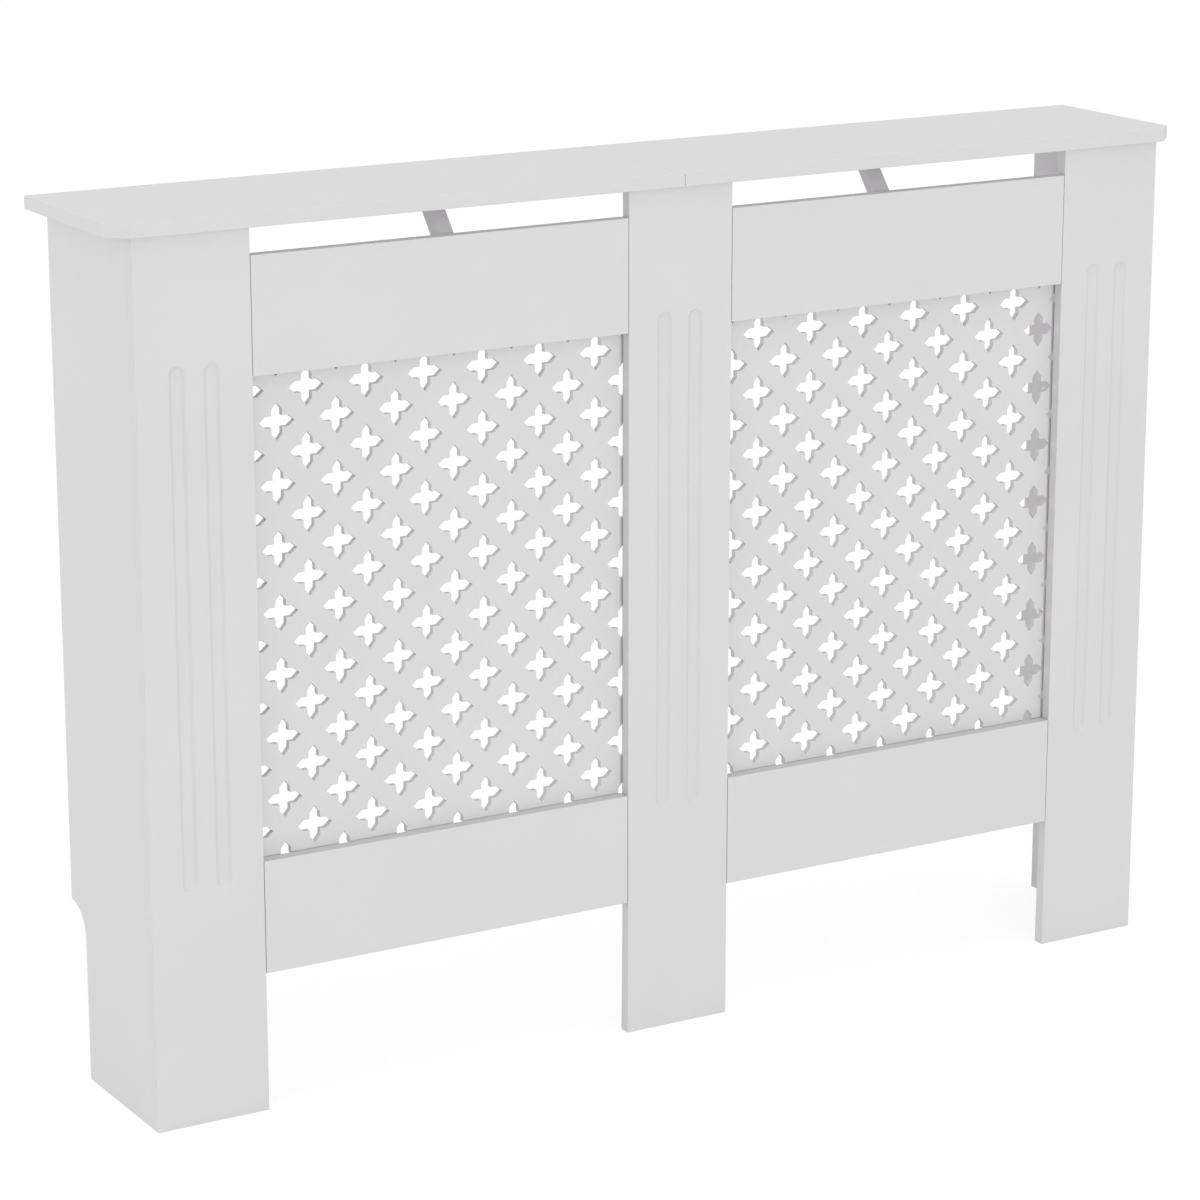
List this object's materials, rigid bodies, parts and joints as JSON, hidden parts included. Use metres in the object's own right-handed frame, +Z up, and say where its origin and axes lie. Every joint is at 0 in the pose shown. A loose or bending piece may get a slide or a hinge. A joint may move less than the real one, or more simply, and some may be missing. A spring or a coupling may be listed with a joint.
{
  "type": "radiator cover cabinet",
  "caption": "Slim white radiator cover with fluted pilasters, panels pierced by a lattice of pointed crosses, and a flat shelf with clipped front corners.",
  "frame": {"origin": "on the floor, under the middle of the shelf's outline", "axes": "+X along the wall, +Y from the room towards the wall, +Z up"},
  "size_m": [1.12, 0.187, 0.815],
  "materials": {
    "painted_board": "12 mm fibreboard, white satin paint",
    "grille_board": "6 mm fibreboard, pierced, white satin paint",
    "zinc_steel": "bright zinc plate"
  },
  "bodies": {
    "root": {"shelf_left": "painted_board", "shelf_right": "painted_board", "side_panel_left": "painted_board", "side_panel_right": "painted_board", "pilaster_left": "painted_board", "pilaster_middle": "painted_board", "pilaster_right": "painted_board", "top_rail_left": "painted_board", "top_rail_right": "painted_board", "bottom_rail_left": "painted_board", "bottom_rail_right": "painted_board", "shelf_brace_left": "painted_board", "shelf_brace_right": "painted_board", "grille_left": "grille_board", "grille_right": "grille_board", "corner_angles_left": "zinc_steel", "corner_angles_right": "zinc_steel", "wall_angle_left": "zinc_steel", "wall_angle_right": "zinc_steel", "shelf_angle_left": "zinc_steel", "shelf_angle_right": "zinc_steel", "shelf_angles_middle": "zinc_steel", "shelf_joint_plate": "zinc_steel"}
  },
  "joints": []
}
